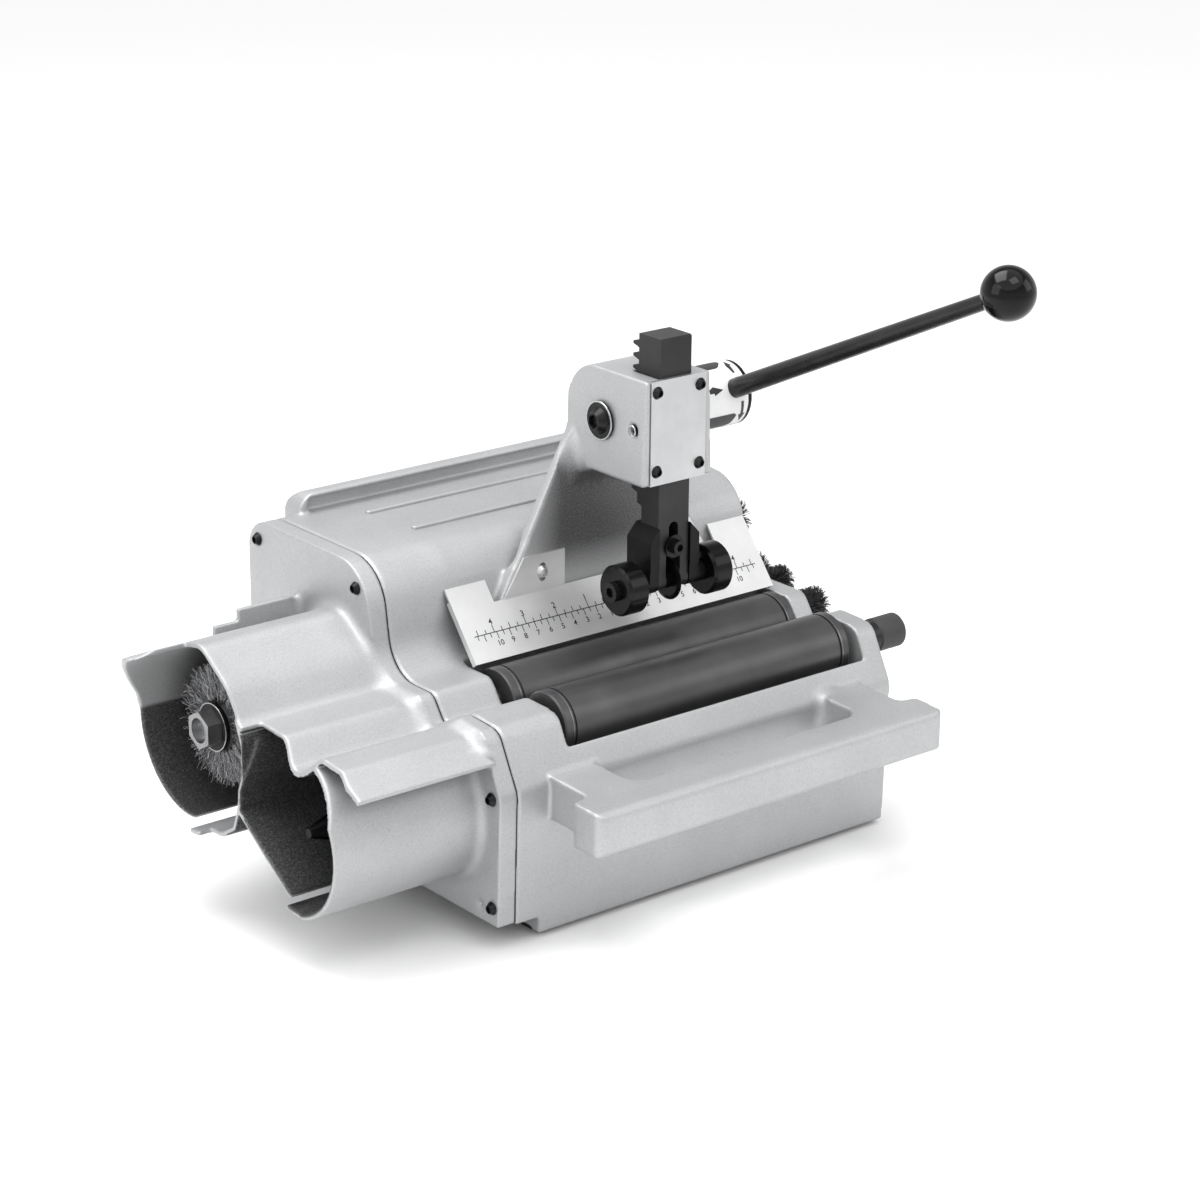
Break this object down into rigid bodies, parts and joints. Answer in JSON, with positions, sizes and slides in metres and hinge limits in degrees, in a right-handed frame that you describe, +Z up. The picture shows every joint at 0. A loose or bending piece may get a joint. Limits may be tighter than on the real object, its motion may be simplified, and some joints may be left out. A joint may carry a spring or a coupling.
{
  "type": "copper pipe cutting machine",
  "caption": "Bench machine that turns a copper pipe on two rollers while a lever-fed wheel cuts it, with cowled wire wheel and reamer and a row of fitting brushes.",
  "frame": {"origin": "on the surface that the machine stands on, below the cutting point between the rollers", "axes": "+X along the rollers towards the fitting brushes, +Y to the back, +Z up"},
  "size_m": [0.506, 0.4399, 0.421],
  "materials": {
    "cast_grey": "satin paint over a fine sand-cast surface",
    "machined_steel": "turned and ground, light oil sheen",
    "zinc_steel": "zinc plated, satin",
    "dark_steel": "blackened, oiled",
    "plate_aluminium": "anodised sheet, satin",
    "black_plastic": "polished",
    "rubber": "matt",
    "dark_wire": "stiff straight wire",
    "steel_wire": "crimped wire"
  },
  "bodies": {
    "body": {"housing": "cast_grey", "base_plate": "dark_steel", "feet": "rubber", "end_cover": "cast_grey", "cover_screws": "dark_steel", "scale_plate": "plate_aluminium", "plate_screws": "dark_steel", "head_plate": "plate_aluminium", "head_screws": "dark_steel", "gib_screw": "dark_steel"},
    "front_roller": {"front_roller": "dark_steel"},
    "rear_roller": {"rear_roller": "dark_steel"},
    "pinion": {"pinion": "machined_steel", "pinion_washer": "zinc_steel", "pinion_screw": "dark_steel"},
    "lever": {"hub_drum": "dark_steel", "lever_rod": "dark_steel", "knob": "black_plastic"},
    "rack": {"rack": "dark_steel", "cutter_pin": "dark_steel"},
    "carrier": {"carrier": "dark_steel", "carrier_washer": "dark_steel", "carrier_screw": "dark_steel", "left_idler_screw": "dark_steel", "right_idler_screw": "dark_steel"},
    "left_idler": {"left_idler": "dark_steel"},
    "right_idler": {"right_idler": "dark_steel"},
    "cutter": {"cutter_wheel": "dark_steel"},
    "wheel_spindle": {"wheel_spindle": "machined_steel", "wire_wheel": "steel_wire", "wheel_flange": "dark_steel", "wheel_nut": "zinc_steel"},
    "reamer_spindle": {"reamer_spindle": "machined_steel", "reamer": "dark_steel"},
    "brush_1": {"brush_arbor_1": "machined_steel", "fitting_brush_1": "dark_wire"},
    "brush_2": {"brush_arbor_2": "machined_steel", "fitting_brush_2": "dark_wire"},
    "brush_3": {"brush_arbor_3": "machined_steel", "fitting_brush_3": "dark_wire"},
    "brush_4": {"brush_arbor_4": "machined_steel", "fitting_brush_4": "dark_wire"},
    "stub": {"stub_shaft": "dark_steel", "drive_stub": "rubber"}
  },
  "joints": [
    {"name": "front_roller_spin", "type": "hinge", "parent": "body", "child": "front_roller", "pos_m": [0, -0.0255, 0.1216], "axis": [1, 0, 0], "continuous": true},
    {"name": "rear_roller_spin", "type": "hinge", "parent": "body", "child": "rear_roller", "pos_m": [0, 0.0255, 0.1216], "axis": [1, 0, 0], "continuous": true},
    {"name": "wheel_spin", "type": "hinge", "parent": "body", "child": "wheel_spindle", "pos_m": [0, 0.0965, 0.1216], "axis": [1, 0, 0], "continuous": true},
    {"name": "reamer_spin", "type": "hinge", "parent": "body", "child": "reamer_spindle", "pos_m": [0, 0.0025, 0.0816], "axis": [1, 0, 0], "continuous": true},
    {"name": "brush_1_spin", "type": "hinge", "parent": "body", "child": "brush_1", "pos_m": [0, 0.1285, 0.159], "axis": [1, 0, 0], "continuous": true},
    {"name": "brush_2_spin", "type": "hinge", "parent": "body", "child": "brush_2", "pos_m": [0, 0.104, 0.127], "axis": [1, 0, 0], "continuous": true},
    {"name": "brush_3_spin", "type": "hinge", "parent": "body", "child": "brush_3", "pos_m": [0, 0.078, 0.126], "axis": [1, 0, 0], "continuous": true},
    {"name": "brush_4_spin", "type": "hinge", "parent": "body", "child": "brush_4", "pos_m": [0, 0.0435, 0.1186], "axis": [1, 0, 0], "continuous": true},
    {"name": "stub_spin", "type": "hinge", "parent": "body", "child": "stub", "pos_m": [0, -0.026, 0.1185], "axis": [1, 0, 0], "continuous": true},
    {"name": "feed_lever", "type": "hinge", "parent": "body", "child": "pinion", "pos_m": [0, 0.034, 0.2866], "axis": [1, 0, 0], "range_deg": [-60, 70]},
    {"name": "lever_draw", "type": "slide", "parent": "pinion", "child": "lever", "axis": [1, 0, 0], "range_m": [0, 0.012], "stiffness_N_per_m": 900, "springref_m": -0.006},
    {"name": "rack_feed", "type": "slide", "parent": "body", "child": "rack", "axis": [0, 0, 1], "range_m": [-0.0185, 0.016]},
    {"name": "carrier_rise", "type": "slide", "parent": "rack", "child": "carrier", "axis": [0, 0, 1], "range_m": [0, 0.01], "stiffness_N_per_m": 500, "springref_m": -0.006},
    {"name": "cutter_spin", "type": "hinge", "parent": "rack", "child": "cutter", "pos_m": [0, 0, 0.1854], "axis": [1, 0, 0], "continuous": true},
    {"name": "left_idler_spin", "type": "hinge", "parent": "carrier", "child": "left_idler", "pos_m": [0, 0, 0.1854], "axis": [1, 0, 0], "continuous": true},
    {"name": "right_idler_spin", "type": "hinge", "parent": "carrier", "child": "right_idler", "pos_m": [0, 0, 0.1854], "axis": [1, 0, 0], "continuous": true}
  ],
  "couplings": [
    {"joint": "rear_roller_spin", "follows": "front_roller_spin", "ratio": 1},
    {"joint": "wheel_spin", "follows": "front_roller_spin", "ratio": 2},
    {"joint": "reamer_spin", "follows": "front_roller_spin", "ratio": 1.5},
    {"joint": "brush_1_spin", "follows": "front_roller_spin", "ratio": 2},
    {"joint": "brush_2_spin", "follows": "front_roller_spin", "ratio": 2},
    {"joint": "brush_3_spin", "follows": "front_roller_spin", "ratio": 2},
    {"joint": "brush_4_spin", "follows": "front_roller_spin", "ratio": 2},
    {"joint": "stub_spin", "follows": "front_roller_spin", "ratio": 1},
    {"joint": "rack_feed", "follows": "feed_lever", "m_per_rad": -0.015}
  ]
}
